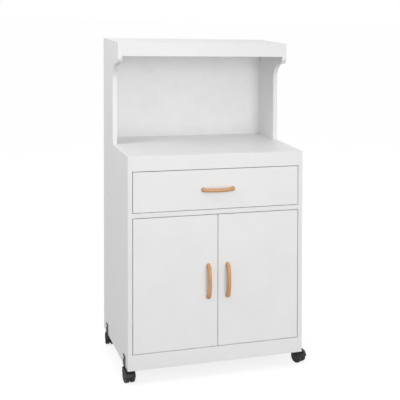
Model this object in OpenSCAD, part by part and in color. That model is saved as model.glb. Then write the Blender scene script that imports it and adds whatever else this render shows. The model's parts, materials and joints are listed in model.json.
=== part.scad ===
// Microwave cart: a white melamine chipboard cabinet on four twin-wheel casters.
// An open bay stands above the worktop; a drawer and two doors are below it.
// Millimetres. X runs across, Y from front to back, Z up, and the floor is Z = 0.

/* [Body] */
// Overall width of the cabinet
body_w = 600; // [520:10:900]
// Depth of the side boards at their foot
body_d = 360; // [340:5:500]
// Height of the side boards
side_h = 1030; // [960:5:1300]
// Thickness of every chipboard
board_t = 15; // [15:1:18]
// Height of the worktop above the foot of the side boards
worktop_h = 680; // [640:5:760]
// Height of the plinth board
plinth_h = 50; // [40:1:80]
// Height of the drawer opening
drawer_open_h = 132.5; // [125:0.5:180]
// Height of the rail in front of the worktop
worktop_rail_h = 48; // [30:1:60]
// Gap around the doors and around the drawer front
front_gap = 2; // [1.6:0.1:3]

/* [Open bay] */
// Distance from the front face to the front edge of the upper side boards
bay_setback = 213; // [200:1:230]
// Distance from the front face to the overhanging nose at the top
nose_setback = 134; // [110:1:150]
// Height of the nose, from the top down to its underside
nose_h = 71; // [60:1:100]
// Radius of the rounded lower corner of the nose
nose_r = 19; // [8:1:24]
// Height of the rail under the front of the top
top_rail_h = 46; // [30:1:58]

/* [Back panels] */
// Thickness of the hardboard back panels and of the drawer bottom
panel_t = 3; // [2.5:0.5:5]
// Distance from the rear edge of the side boards to the back panels
back_inset = 9; // [6:1:20]
// Depth of the grooves that hold the panels
groove_depth = 6; // [4:0.5:8]

/* [Cabinet shelf] */
// Height of the shelf's underside above the bottom board
shelf_rise = 208; // [160:1:300]
// Distance from the front face to the shelf's front edge
shelf_setback = 45; // [40:1:90]
// Pitch of the rows of shelf pin holes
pin_pitch = 32; // [20:1:40]
// Diameter of the shelf pins
pin_d = 5; // [4:0.5:6]

/* [Drawer] */
// Space between the drawer box and the back panel
drawer_clear = 23; // [15:1:60]
// Height of the drawer sides
drawer_side_h = 90; // [70:1:95]
// Thickness of the drawer sides and back
drawer_board_t = 12; // [10:1:15]
// Side space for the runner on each side of the drawer box
runner_space = 12.5; // [12.5:0.1:14]
// Height of the drawer sides above the mid board
drawer_rise = 14; // [6:1:20]
// Sheet thickness of the runners
runner_t = 1.2; // [1:0.1:1.5]
// Radius of the runner rollers
roller_r = 9; // [8:0.5:10]
// Width of the runner rollers
roller_w = 7; // [5:0.5:8]

/* [Doors] */
// Distance from the outer edge of a door to the hinge pin
hinge_edge = 20; // [19.5:0.5:21]
// Distance from the top and bottom of a door to its hinge centres
hinge_inset = 75; // [60:1:110]
// Diameter of the hinge cups
cup_d = 35; // [34:0.5:36]

/* [Handles] */
// Distance between the screws of a handle
handle_span = 102; // [90:1:128]
// Diameter of the handle bar
handle_d = 12; // [11:0.5:14]
// How far a handle stands out from its front
handle_rise = 25; // [24:1:34]
// Slope of the bar where its wide arc meets the tight arcs at the feet
handle_slope = 15; // [10:1:20]
// Distance from the meeting edge of a door to its handle
handle_offset = 32; // [24:1:50]

/* [Casters] */
// Height of the casters, from the floor to the foot of the side boards
caster_h = 46; // [44:1:60]
// Width across both wheels of a caster
wheel_span = 32; // [28:1:40]
// Distance from a caster's swivel pin to its axle
caster_trail = 21; // [17:0.5:24]
// Distance from the front face to the swivel pins of the front casters
caster_front = 48; // [40:1:70]
// Distance from the rear edge to the swivel pins of the rear casters
caster_rear = 55; // [40:1:70]
// Turn of the front left caster about its swivel pin
turn_front_left = 6; // [-180:1:180]
// Turn of the front right caster about its swivel pin
turn_front_right = 24; // [-180:1:180]
// Turn of the rear left caster about its swivel pin
turn_rear_left = 162; // [-180:1:180]
// Turn of the rear right caster about its swivel pin
turn_rear_right = -168; // [-180:1:180]

/* [Hidden] */
$fn = 64;
eps = 0.01;
fit = 0.1; // play of a part that is let into a board
shaft_fit = 0.05; // radial play of a turning shaft

board_colour = "white";
hardboard_colour = "gainsboro";
wood_colour = "burlywood";
steel_colour = "silver";
black_colour = "dimgray";
roller_colour = "ivory";

front_y = -(body_d - handle_rise) / 2;
inner_w = body_w - 2 * board_t;
half_in = inner_w / 2;
back_y = body_d - back_inset - panel_t; // front face of the back panels
rail_z = worktop_h - worktop_rail_h;
mid_z = rail_z - drawer_open_h - board_t; // underside of the mid board
drawer_side_l = back_y - board_t - drawer_clear;
shelf_z = plinth_h + shelf_rise;
hinge_y = 8; // depth of the hinge pins behind the front face
cove_r = bay_setback - nose_setback - nose_r; // radius of the cove under the nose
cove_z = side_h - nose_h - cove_r;

front_w = inner_w - 2 * front_gap;
door_z = plinth_h + front_gap;
door_h = mid_z - plinth_h - 2 * front_gap;
door_w = (front_w - front_gap) / 2;
drawer_front_z = mid_z + board_t + front_gap;
drawer_front_h = drawer_open_h - 2 * front_gap;
drawer_z = mid_z + board_t + drawer_rise; // underside of the drawer sides
drawer_half = half_in - runner_space; // outer face of the drawer sides

// ---- placing ----

// Puts a piece, drawn from the front face and the foot of the side boards, on its casters.
module on_cart() {
    translate([0, front_y, caster_h]) children();
}

// Draws a piece of the left side, or its mirror image on the right.
module on_side(side) {
    if (side < 0) children();
    else mirror([1, 0, 0]) children();
}

// A box from its lowest corner to its highest.
module block(low, high) {
    translate(low) cube(high - low);
}

// A board across the cabinet, between the side boards.
module cross_board(y0, y1, z0, z1) {
    block([-half_in, y0, z0], [half_in, y1, z1]);
}

// A cylinder along X, centred on x.
module rod_x(x, y, z, r, l) {
    translate([x - l / 2, y, z]) rotate([0, 90, 0]) cylinder(r = r, h = l);
}

// A cylinder along Y, from y0 to y1.
module rod_y(x, z, r, y0, y1) {
    translate([x, y0, z]) rotate([-90, 0, 0]) cylinder(r = r, h = y1 - y0);
}

// ---- sheet metal ----

// Unit normal on the left of the way from a to b.
function left_of(a, b) = let (d = (b - a) / norm(b - a)) [-d.y, d.x];

// Point i of a path, moved sideways by half of t, along the mitre at a bend.
function beside(path, i, t) =
    let (
        last = len(path) - 1,
        before = left_of(path[max(i - 1, 0)], path[max(i, 1)]),
        after = left_of(path[min(i, last - 1)], path[min(i + 1, last)]),
        s = before + after
    )
    path[i] + s * t / (s * s);

// Outline of a strip of thickness t that is bent along a path.
function strip(path, t) = concat(
    [for (i = [0:len(path) - 1]) beside(path, i, t)],
    [for (i = [len(path) - 1:-1:0]) beside(path, i, -t)]
);

// ---- side boards ----

module side_outline() {
    union() {
        square([body_d, worktop_h]);
        translate([bay_setback, 0]) square([body_d - bay_setback, side_h]);
        translate([nose_setback, side_h - nose_h]) square([body_d - nose_setback, nose_h]);
        translate([bay_setback - cove_r, cove_z]) square([cove_r + eps, cove_r + eps]);
    }
}

module nose_corner() {
    difference() {
        translate([nose_setback - 1, side_h - nose_h - 1]) square(nose_r + 1);
        translate([nose_setback + nose_r, side_h - nose_h + nose_r]) circle(r = nose_r);
    }
}

module side_profile() {
    difference() {
        side_outline();
        translate([bay_setback - cove_r, cove_z]) circle(r = cove_r);
        nose_corner();
    }
}

// Places of the horizontal boards that the side boards carry: [y0, y1, z], z is the underside.
worktop_place = [board_t, back_y, worktop_h - board_t];
top_place = [nose_setback + board_t, back_y, side_h - board_t];
mid_place = [0, back_y, mid_z];
bottom_place = [board_t, back_y, plinth_h - board_t];
board_places = [worktop_place, top_place, mid_place, bottom_place];

dowel_d = 8;
dowel_l = 30;
dowel_in_side = 10; // how deep a dowel stands in the side board
dowel_inset = 24; // from a board's front and rear edges
cam_d = 15;
cam_h = 11;
cam_back = 24; // from a board's end to the cam's centre
cam_bolt_d = 6;
cam_inset = 56; // from a board's front and rear edges

// [y, z] of the dowels that join the boards and rails to one side board.
dowel_spots = concat(
    [for (p = board_places, y = [p[0] + dowel_inset, p[1] - dowel_inset]) [y, p[2] + board_t / 2]],
    [[board_t / 2, worktop_h - worktop_rail_h / 2]],
    [[board_t / 2, plinth_h / 2]],
    [[nose_setback + board_t / 2, side_h - top_rail_h / 2]]
);

// [y, z] of the cams on one side: z is the board's underside.
cam_spots = [for (p = board_places, y = [p[0] + cam_inset, p[1] - cam_inset]) [y, p[2]]];

module dowels(play) {
    for (side = [-1, 1], s = dowel_spots)
        rod_x(side * (half_in + dowel_in_side - dowel_l / 2), s[0], s[1],
            dowel_d / 2 + play, dowel_l + 2 * play);
}

// A cam in the underside of a board and the bolt that it draws in from the side board.
module cams(play) {
    for (side = [-1, 1], s = cam_spots) {
        translate([side * (half_in - cam_back), s[0], s[1] - (play > 0 ? 1 : 0)])
            cylinder(r = cam_d / 2 + play, h = cam_h + (play > 0 ? 1 + play : 0));
        rod_x(side * (half_in - cam_back / 2 + dowel_in_side / 2), s[0], s[1] + board_t / 2,
            cam_bolt_d / 2 + play, cam_back + dowel_in_side + 2 * play);
    }
}

// Everything that is drilled into the boards for the dowels, cams and screws.
module fastener_holes() {
    dowels(fit);
    cams(fit);
    back_screws(fit);
}

shelf_back_gap = 5; // between the shelf and the back panel
shelf_d = back_y - shelf_back_gap - shelf_setback;
pin_row_inset = 35; // from the shelf's front and rear edges
pin_rows = [shelf_setback + pin_row_inset, shelf_setback + shelf_d - pin_row_inset];
pin_z = shelf_z - pin_d / 2;
pin_in_side = 9;

module pin_holes(x0) {
    for (y = pin_rows, i = [-2:2])
        rod_x(x0, y, pin_z + i * pin_pitch, pin_d / 2 + fit, 2 * (pin_in_side + fit));
}

kingpin_r = 4;
kingpin_spots = [
    [-(body_w - board_t) / 2, caster_front],
    [(body_w - board_t) / 2, caster_front],
    [-(body_w - board_t) / 2, body_d - caster_rear],
    [(body_w - board_t) / 2, body_d - caster_rear]
];
kingpin_hole_r = 5.6;
kingpin_hole_h = 5;

module side_panel(side) {
    x0 = side < 0 ? -body_w / 2 : half_in;
    difference() {
        translate([x0, 0, 0]) rotate([90, 0, 90]) linear_extrude(board_t) side_profile();
        // groove for the back panels
        block([-half_in - groove_depth, back_y - fit, groove_depth],
            [half_in + groove_depth, back_y + panel_t + fit, side_h - groove_depth]);
        fastener_holes();
        pin_holes(side * half_in);
        for (s = kingpin_spots) translate([s[0], s[1], -1])
            cylinder(r = kingpin_hole_r, h = kingpin_hole_h + 1);
        on_side(side) each_hinge() hinge_plate_screws(fit);
        bracket_screws(fit);
    }
}

module side_panel_left() color(board_colour) on_cart() side_panel(-1);
module side_panel_right() color(board_colour) on_cart() side_panel(1);

// ---- boards between the sides ----

module shelf_board(place) {
    difference() {
        cross_board(place[0], place[1], place[2], place[2] + board_t);
        fastener_holes();
    }
}

module worktop() color(board_colour) on_cart() shelf_board(worktop_place);
module top_shelf() color(board_colour) on_cart() shelf_board(top_place);
module mid_board() color(board_colour) on_cart() shelf_board(mid_place);
module bottom_board() color(board_colour) on_cart() shelf_board(bottom_place);

module front_rail(y0, z0, z1) {
    difference() {
        cross_board(y0, y0 + board_t, z0, z1);
        fastener_holes();
    }
}

module worktop_rail() color(board_colour) on_cart() front_rail(0, rail_z, worktop_h);
module top_rail() color(board_colour) on_cart()
    front_rail(nose_setback, side_h - top_rail_h, side_h);
module plinth() color(board_colour) on_cart() front_rail(0, 0, plinth_h);

// ---- back panels ----

panel_half = half_in + groove_depth - fit;
panel_split_z = worktop_h - board_t / 2;
screw_head_r = 3.5;
screw_head_h = 1.6;
back_screw_r = 1.5;
back_screw_l = 16;
back_screw_apart = 4; // from the seam of the two back panels

module back_panel(z0, z1) {
    difference() {
        block([-panel_half, back_y, z0], [panel_half, back_y + panel_t, z1]);
        back_screws(fit);
    }
}

module back_panel_lower() color(hardboard_colour) on_cart()
    back_panel(groove_depth + fit, panel_split_z - fit);
module back_panel_upper() color(hardboard_colour) on_cart()
    back_panel(panel_split_z + fit, side_h - groove_depth - fit);

// Screws through the back panels into the rear edges of the boards.
back_screw_reach = 0.7; // place of the outer screws, as a share of the half width
back_screw_rows = [
    plinth_h - board_t / 2, mid_z + board_t / 2,
    panel_split_z - back_screw_apart, panel_split_z + back_screw_apart,
    side_h - board_t / 2 - 2
];
module back_screws(play) {
    for (x = [-1, 0, 1] * back_screw_reach * half_in, z = back_screw_rows) {
        rod_y(x, z, back_screw_r + play, back_y + panel_t - back_screw_l, back_y + panel_t);
        if (play == 0)
            rod_y(x, z, screw_head_r, back_y + panel_t, back_y + panel_t + screw_head_h);
    }
}
module back_panel_screws() color(steel_colour) on_cart() back_screws(0);

// ---- cabinet shelf ----

module cabinet_shelf() color(board_colour) on_cart()
    block([-half_in + 1, shelf_setback, shelf_z],
        [half_in - 1, shelf_setback + shelf_d, shelf_z + board_t]);

// A pin with a flat tongue, whose top carries the shelf.
module shelf_pin(y) {
    rod_x(-half_in - pin_in_side / 2, y, pin_z, pin_d / 2, pin_in_side);
    tongue = 0.8 * pin_d;
    block([-half_in, y - tongue, shelf_z - pin_d],
        [-half_in + pin_in_side, y + tongue, shelf_z]);
}

module shelf_pins() color(steel_colour) on_cart()
    for (side = [-1, 1], y = pin_rows) on_side(side) shelf_pin(y);

// ---- dowels and cams ----

module cam_fasteners() color(steel_colour) on_cart() cams(0);
module wood_dowels() color(wood_colour) on_cart() dowels(0);

// ---- handles ----

handle_r = handle_d / 2;
handle_foot_r = 7.5;
handle_foot_h = 3;
handle_half = handle_span / 2;
handle_screw_r = 2;
handle_screw_in = 10; // how deep the screw stands in the foot
handle_head_r = 4;
handle_head_h = 2.4;

// The bar's middle line is a wide arc with a tight arc at each foot, which all join smoothly.
bar_reach = handle_rise - handle_r - handle_foot_h;
bend_r = (bar_reach * sin(handle_slope) - handle_half * (1 - cos(handle_slope)))
    / (cos(handle_slope) * sin(handle_slope)
        - (1 - sin(handle_slope)) * (1 - cos(handle_slope)));
bow_r = (handle_half - bend_r * (1 - sin(handle_slope))) / sin(handle_slope);
bow_y = bow_r + handle_r - handle_rise;

// The wide arc is a hair thinner and goes a little way into the tight ones.
bow_thinner = 0.04;
bow_lap = 0.2;

// An arc of the bar about [y, z]. Its angles start at the way out from the front.
module bar_arc(y, z, radius, low, high, thick) {
    translate([0, y, z]) rotate([0, -90, 180]) rotate([0, 0, 90 - high])
        rotate_extrude(angle = high - low) translate([radius, 0]) circle(r = thick);
}

// A bow handle on the face y = 0, upright, with its middle at the origin.
module bow_handle() {
    difference() {
        union() {
            bar_arc(bow_y, 0, bow_r, -handle_slope - bow_lap, handle_slope + bow_lap,
                handle_r - bow_thinner);
            for (side = [-1, 1]) scale_z(side) {
                bar_arc(bow_y - (bow_r - bend_r) * cos(handle_slope),
                    (bow_r - bend_r) * sin(handle_slope), bend_r, handle_slope, 90,
                    handle_r);
                translate([0, -handle_foot_h, handle_half]) rotate([-90, 0, 0])
                    cylinder(r1 = handle_r, r2 = handle_foot_r, h = handle_foot_h);
            }
        }
        for (side = [-1, 1])
            rod_y(0, side * handle_half, handle_screw_r + fit, -handle_screw_in - fit, 1);
    }
}

// Draws a piece above the middle, or its mirror image below it.
module scale_z(side) {
    if (side > 0) children();
    else mirror([0, 0, 1]) children();
}

// The two screws of a handle on a front of the given thickness.
module handle_screws(thick, play) {
    for (side = [-1, 1]) {
        rod_y(0, side * handle_half, handle_screw_r + play,
            -handle_screw_in * (play > 0 ? 0 : 1) - play, thick + play);
        if (play == 0)
            rod_y(0, side * handle_half, handle_head_r, thick, thick + handle_head_h);
    }
}

door_mid_z = door_z + door_h / 2;
drawer_mid_z = drawer_front_z + drawer_front_h / 2;

module at_drawer_handle() translate([0, 0, drawer_mid_z]) rotate([0, 90, 0]) children();
module at_door_handle() translate([-front_gap / 2 - handle_offset, 0, door_mid_z]) children();

module drawer_handle() color(wood_colour) on_cart() at_drawer_handle() bow_handle();
module door_handle(side) color(wood_colour) on_cart() on_side(side)
    at_door_handle() bow_handle();
module door_handle_screws(side) color(steel_colour) on_cart() on_side(side)
    at_door_handle() handle_screws(board_t, 0);
module door_handle_left() door_handle(-1);
module door_handle_right() door_handle(1);
module door_handle_screws_left() door_handle_screws(-1);
module door_handle_screws_right() door_handle_screws(1);

// ---- drawer ----

drawer_in = drawer_half - drawer_board_t; // inner face of the drawer sides
drawer_back_y = board_t + drawer_side_l - drawer_board_t;
drawer_groove_z = drawer_z + 10; // underside of the drawer bottom
drawer_groove = 6; // depth of the grooves that hold it
drawer_back_drop = 12; // from the top of the drawer sides down to the top of the drawer back

module drawer_bottom_groove() {
    block([-drawer_in - drawer_groove, 0, drawer_groove_z - fit],
        [drawer_in + drawer_groove, drawer_back_y + drawer_board_t + 1,
            drawer_groove_z + panel_t + fit]);
}

box_cam_r = 6;
box_cam_h = 9;
box_cam_y = board_t + 20;
box_bolt_r = 2.5;
box_bolt_in = 9; // how deep a bolt stands in the drawer front
box_screw_r = 2;
box_screw_l = 38;
box_head_r = 3.6;
box_head_h = 2.2;
box_fastener_heights = [drawer_z + 0.35 * drawer_side_h, drawer_z + 0.72 * drawer_side_h];

// The cams that hold the drawer front, and the screws through the sides into the drawer back.
module box_fasteners(play) {
    for (side = [-1, 1], z = box_fastener_heights) on_side(side) {
        rod_x(-drawer_in - box_cam_h / 2 + play / 2, box_cam_y, z,
            box_cam_r + play, box_cam_h + play);
        rod_y(-drawer_in - drawer_board_t / 2, z, box_bolt_r + play,
            board_t - box_bolt_in - play, box_cam_y);
        translate([-drawer_half, drawer_back_y + drawer_board_t / 2, z]) rotate([0, 90, 0]) {
            cylinder(r = box_screw_r + play, h = box_screw_l + play);
            cylinder(r1 = box_head_r + play, r2 = box_screw_r + play, h = box_head_h);
        }
    }
}

module drawer_front() color(board_colour) on_cart()
    difference() {
        block([-front_w / 2, 0, drawer_front_z],
            [front_w / 2, board_t, drawer_front_z + drawer_front_h]);
        at_drawer_handle() handle_screws(board_t, fit);
        // groove for the front edge of the drawer bottom
        block([-drawer_in - drawer_groove, board_t - drawer_groove, drawer_groove_z - fit],
            [drawer_in + drawer_groove, board_t + 1, drawer_groove_z + panel_t + fit]);
        box_fasteners(fit);
    }

module drawer_side(side) color(board_colour) on_cart() on_side(side)
    difference() {
        block([-drawer_half, board_t, drawer_z],
            [-drawer_in, board_t + drawer_side_l, drawer_z + drawer_side_h]);
        drawer_bottom_groove();
        box_fasteners(fit);
    }
module drawer_side_left() drawer_side(-1);
module drawer_side_right() drawer_side(1);

// The drawer back stands on the drawer bottom, which runs out under it.
module drawer_back() color(board_colour) on_cart()
    difference() {
        block([-drawer_in, drawer_back_y, drawer_groove_z + panel_t],
            [drawer_in, drawer_back_y + drawer_board_t,
                drawer_z + drawer_side_h - drawer_back_drop]);
        box_fasteners(fit);
    }

module drawer_bottom() color(hardboard_colour) on_cart()
    block([-drawer_in - drawer_groove + fit, board_t - drawer_groove + fit, drawer_groove_z],
        [drawer_in + drawer_groove - fit, drawer_back_y + drawer_board_t,
            drawer_groove_z + panel_t]);

module drawer_fasteners() color(steel_colour) on_cart() {
    at_drawer_handle() handle_screws(board_t, 0);
    box_fasteners(0);
}

// ---- drawer runners ----

runner_gap = 0.2; // play of a roller above its track
runner_front = board_t + 2;
leg_h = 20; // height of the leg of the drawer runner
flange_z = drawer_z + leg_h - runner_t; // underside of the rolling flange
roller_z = flange_z - runner_gap - roller_r;
track_z = roller_z - roller_r - runner_gap;
roller_pin_r = 2;
web_x = half_in - runner_t;
leg_x = drawer_half + runner_t;
roller_x = (web_x + leg_x) / 2;
front_roller_y = runner_front + 11;
rear_roller_y = board_t + drawer_side_l - 20;
roller_pin_end = 0.8; // how far a roller's pin stands out of the roller
channel_lip = 9;
channel_back_gap = 8; // between the channel and the back panel
lip_h = 1.5; // space between the rolling flange and the channel above it
flange_gap = 1.5; // between the rolling flange's edge and the channel

// The sheet-metal channel on the side board and its front roller's pin.
module runner_cabinet(side) color("white") on_cart() on_side(side) {
    low = track_z - runner_t / 2;
    high = flange_z + runner_t + lip_h + runner_t / 2;
    x0 = -half_in + runner_t / 2;
    path = [[x0 + channel_lip, low], [x0, low], [x0, high], [x0 + channel_lip, high]];
    channel_end = back_y - channel_back_gap;
    pin_end = roller_x - roller_w / 2 - roller_pin_end;
    translate([0, channel_end, 0]) rotate([90, 0, 0])
        linear_extrude(channel_end - runner_front) polygon(strip(path, runner_t));
    rod_x(-(web_x + pin_end) / 2, front_roller_y, roller_z, roller_pin_r, web_x - pin_end);
}
module runner_cabinet_left() runner_cabinet(-1);
module runner_cabinet_right() runner_cabinet(1);

// The sheet-metal angle under the drawer side, its rolling flange and rear roller's pin.
module runner_drawer(side) color("white") on_cart() on_side(side) {
    foot_x = -drawer_in - 1;
    x0 = -drawer_half - runner_t / 2;
    path = [
        [foot_x, drawer_z - runner_t / 2], [x0, drawer_z - runner_t / 2],
        [x0, flange_z + runner_t / 2],
        [-web_x + flange_gap, flange_z + runner_t / 2]
    ];
    translate([0, board_t + drawer_side_l, 0]) rotate([90, 0, 0])
        linear_extrude(board_t + drawer_side_l - runner_front) polygon(strip(path, runner_t));
    pin_end = roller_x + roller_w / 2 + roller_pin_end;
    rod_x(-(leg_x + pin_end) / 2, rear_roller_y, roller_z, roller_pin_r, pin_end - leg_x);
}
module runner_drawer_left() runner_drawer(-1);
module runner_drawer_right() runner_drawer(1);

module roller(side, y) color(roller_colour) on_cart() on_side(side)
    difference() {
        rod_x(-roller_x, y, roller_z, roller_r, roller_w);
        rod_x(-roller_x, y, roller_z, roller_pin_r + shaft_fit, roller_w + 2);
    }
module front_roller_left() roller(-1, front_roller_y);
module front_roller_right() roller(1, front_roller_y);
module rear_roller_left() roller(-1, rear_roller_y);
module rear_roller_right() roller(1, rear_roller_y);

// ---- doors ----

door_x = -front_w / 2; // outer edge of the left door
hinge_x = door_x + hinge_edge;
hinge_heights = [door_z + hinge_inset, door_z + door_h - hinge_inset];
cup_r = cup_d / 2;
cup_wall = 1;
cup_floor_y = hinge_y - 3.4; // inner face of the cup's floor
cup_shift = 1.5; // from the hinge pin to the middle of the cup
cup_x = hinge_x + cup_shift;
hinge_pin_r = 2;
hinge_eye_r = 3.2;
hinge_arm_w = 11;
hinge_arm_t = 2.4;
cup_flange_t = 1;
cup_flange_in = 8; // from the cup's middle to the flange's edge on the hinge side
cup_flange_out = 14;
cup_flange_half = 26;

module each_hinge() {
    for (z = hinge_heights) translate([hinge_x, hinge_y, z]) children();
}

module door(side) color(board_colour) on_cart() on_side(side)
    difference() {
        block([door_x, 0, door_z], [door_x + door_w, board_t, door_z + door_h]);
        for (z = hinge_heights)
            rod_y(cup_x, z, cup_r, cup_floor_y - cup_wall - fit, board_t + 1);
        at_door_handle() handle_screws(board_t, fit);
    }
module door_left() door(-1);
module door_right() door(1);

// The pressed cup in the back of the door, with ears for its two screws.
module hinge_cup(z) {
    difference() {
        union() {
            rod_y(cup_x, z, cup_r - fit, cup_floor_y - cup_wall, board_t);
            block([cup_x - cup_flange_in, board_t, z - cup_flange_half],
                [cup_x + cup_flange_out, board_t + cup_flange_t, z + cup_flange_half]);
        }
        rod_y(cup_x, z, cup_r - fit - cup_wall, cup_floor_y, board_t + 2);
        translate([hinge_x, hinge_y, z - cup_r]) cylinder(r = hinge_pin_r, h = cup_d);
    }
}
module hinge_cups(side) color(steel_colour) on_cart() on_side(side)
    for (z = hinge_heights) hinge_cup(z);
module hinge_cups_left() hinge_cups(-1);
module hinge_cups_right() hinge_cups(1);

hinge_pin_l = 2 * sqrt(pow(cup_r - fit, 2) - pow(cup_shift, 2)) - 0.6;
module hinge_pins(side) color(steel_colour) on_cart() on_side(side)
    each_hinge() translate([0, 0, -hinge_pin_l / 2]) cylinder(r = hinge_pin_r, h = hinge_pin_l);
module hinge_pins_left() hinge_pins(-1);
module hinge_pins_right() hinge_pins(1);

// The cranked arm: round the cup's rim, then back along the side board.
plate_t = 2;
plate_front = 32; // from the pin back to the mounting plate's front edge
plate_ear = 6; // from the middle of a plate screw to the edges of its ear
plate_screw_y = 42; // behind the hinge pin
plate_screw_z = 16; // above and below the hinge pin
arm_back = 62; // how far the arm reaches behind the pin
crank_x = 19; // how far the arm goes round the cup's rim
crank_y = 25; // from the pin back to the arm's straight part
crank_end = -9; // where the straight part starts
crank_cut = 6; // bevelled corner of the crank
arm_path = [
    [0, 0], [12, 1], [15, 9], [crank_x, 14], [crank_x, crank_y - crank_cut],
    [crank_x - crank_cut, crank_y], [crank_end, crank_y]
];
side_x = -(half_in + hinge_x); // the side board's inner face, seen from the pin
module hinge_arm() {
    difference() {
        union() {
            translate([0, 0, -hinge_arm_w / 2]) linear_extrude(hinge_arm_w)
                polygon(strip(arm_path, hinge_arm_t));
            translate([0, 0, -hinge_arm_w / 2]) cylinder(r = hinge_eye_r, h = hinge_arm_w);
            // straight part of the arm, on its mounting plate
            block([side_x + plate_t, crank_y - hinge_arm_t / 2, -hinge_arm_w / 2],
                [crank_end, arm_back, hinge_arm_w / 2]);
            block([side_x, plate_front, -hinge_arm_w / 2 - plate_t],
                [side_x + plate_t, arm_back - plate_t, hinge_arm_w / 2 + plate_t]);
            block([side_x, plate_screw_y - plate_ear, -plate_screw_z - plate_ear],
                [side_x + plate_t, plate_screw_y + plate_ear, plate_screw_z + plate_ear]);
        }
        translate([0, 0, -hinge_arm_w]) cylinder(r = hinge_pin_r + shaft_fit, h = 2 * hinge_arm_w);
        hinge_plate_screws(fit);
    }
}

hinge_screw_r = 2;
hinge_screw_l = 11;
hinge_head_r = 3.8;
hinge_head_h = 2;

// The two screws of one mounting plate, seen from the hinge pin.
module hinge_plate_screws(play) {
    for (side = [-1, 1]) {
        rod_x(side_x + plate_t - hinge_screw_l / 2, plate_screw_y, side * plate_screw_z,
            hinge_screw_r + play, hinge_screw_l + 2 * play);
        if (play == 0)
            rod_x(side_x + plate_t + hinge_head_h / 2, plate_screw_y, side * plate_screw_z,
                hinge_head_r, hinge_head_h);
    }
}
module hinge_screws() color(steel_colour) on_cart()
    for (side = [-1, 1]) on_side(side) each_hinge() hinge_plate_screws(0);
module hinge_arms(side) color(steel_colour) on_cart() on_side(side) each_hinge() hinge_arm();
module hinge_arms_left() hinge_arms(-1);
module hinge_arms_right() hinge_arms(1);

// ---- casters ----

bracket_t = 2;
bracket_w = 28;
bracket_h = 35; // height of the bracket on the outer face of the side board
bracket_corner_r = 6;
bracket_screw_r = 1.9;
bracket_sink_r = 3.6; // the sunk heads of the screws up into the foot of the board
bracket_sink_h = 1.8;
bracket_head_r = 4.2;
face_screw = [4, 26]; // behind the swivel pin, and above the foot of the board
foot_screw = 9.5; // in front of the swivel pin and behind it
foot_screw_l = 14;

thrust_gap = 0.3; // between the hood and the bracket
cover_t = 2.4;
wheel_gap = 0.8; // between the wheels and the hood
wheel_r = (caster_h - bracket_t - thrust_gap - cover_t - wheel_gap - 0.5) / 2;
well_r = wheel_r + wheel_gap;
cover_r = well_r + cover_t;
hood_top = caster_h - bracket_t - thrust_gap;
web_half = 2.6; // half the thickness of the wall between the wheels
side_gap = 0.5; // between a wheel and that wall
half_span = wheel_span / 2;
axle_r = 2.5;
kingpin_low = hood_top - 10.5;
clip_r = 5.2;
clip_t = 1.2;
clip_lift = 0.3; // from the bracket up to the clip
skirt_z = 3; // from the axle up to the lower edge of the cover
neck_h = 15; // height of the block round the swivel pin
neck_r = 11.5;
neck_back = 9.5; // from the swivel pin to the back of the block
web_r = wheel_r - 4; // end of the wall between the wheels, below the cover
kingpin_top = caster_h + kingpin_hole_h - 1;
caster_turns = [turn_front_left, turn_front_right, turn_rear_left, turn_rear_right];

module at_caster(i) {
    translate([kingpin_spots[i][0], front_y + kingpin_spots[i][1], 0])
        rotate([0, 0, caster_turns[i]]) children();
}

// A square notch less a circle: it rounds a corner at the origin.
module corner_cut(r) {
    difference() {
        translate([0, -eps]) square([r + eps, r + eps]);
        circle(r = r);
    }
}

// Left-hand bracket for a swivel pin at the given depth, in the frame of the side boards.
module bracket(y) {
    outer_x = -body_w / 2 - bracket_t / 2;
    path = [[-half_in, -bracket_t / 2], [outer_x, -bracket_t / 2], [outer_x, bracket_h]];
    difference() {
        translate([0, y + bracket_w / 2, 0]) rotate([90, 0, 0])
            linear_extrude(bracket_w) polygon(strip(path, bracket_t));
        for (side = [-1, 1])
            translate([outer_x - bracket_t, y + side * (bracket_w / 2 - bracket_corner_r),
                bracket_h - bracket_corner_r])
                rotate([90, 0, 90]) linear_extrude(2 * bracket_t)
                    scale([side, 1]) corner_cut(bracket_corner_r);
        translate([kingpin_spots[0][0], y, -bracket_t - 1])
            cylinder(r = kingpin_r + shaft_fit, h = bracket_t + 2);
    }
}

module bracket_screws_at(y, play) {
    outer_x = -body_w / 2 - bracket_t;
    rod_x(outer_x + foot_screw_l / 2, y + face_screw.x, face_screw.y,
        bracket_screw_r + play, foot_screw_l + 2 * play);
    if (play == 0) rod_x(outer_x - 1, y + face_screw.x, face_screw.y, bracket_head_r, 2);
    for (side = [-1, 1]) translate([kingpin_spots[0][0], y + side * foot_screw, -bracket_t]) {
        cylinder(r = bracket_screw_r + play, h = foot_screw_l);
        translate([0, 0, -play]) cylinder(
            r1 = bracket_sink_r + play, r2 = bracket_screw_r + play, h = bracket_sink_h);
    }
}

module bracket_screws(play) {
    for (side = [-1, 1], i = [0, 2]) on_side(side) bracket_screws_at(kingpin_spots[i][1], play);
}

module caster_brackets() color(black_colour) on_cart()
    difference() {
        for (side = [-1, 1], i = [0, 2]) on_side(side) bracket(kingpin_spots[i][1]);
        bracket_screws(fit);
    }
module caster_bracket_screws() color(steel_colour) on_cart() bracket_screws(0);

// The cover over the wheels, the wall between them and the socket of the swivel pin.
// It is drawn about the swivel pin, with the axle towards the front.
module hood_side_profile() {
    intersection() {
        translate([-caster_trail, wheel_r]) circle(r = cover_r);
        translate([-caster_trail - cover_r - 1, wheel_r + skirt_z])
            square([2 * cover_r + 2, cover_r + 1]);
    }
    translate([-caster_trail, hood_top - neck_h]) square([caster_trail + neck_back, neck_h]);
    translate([-caster_trail, wheel_r]) circle(r = web_r);
}

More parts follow.
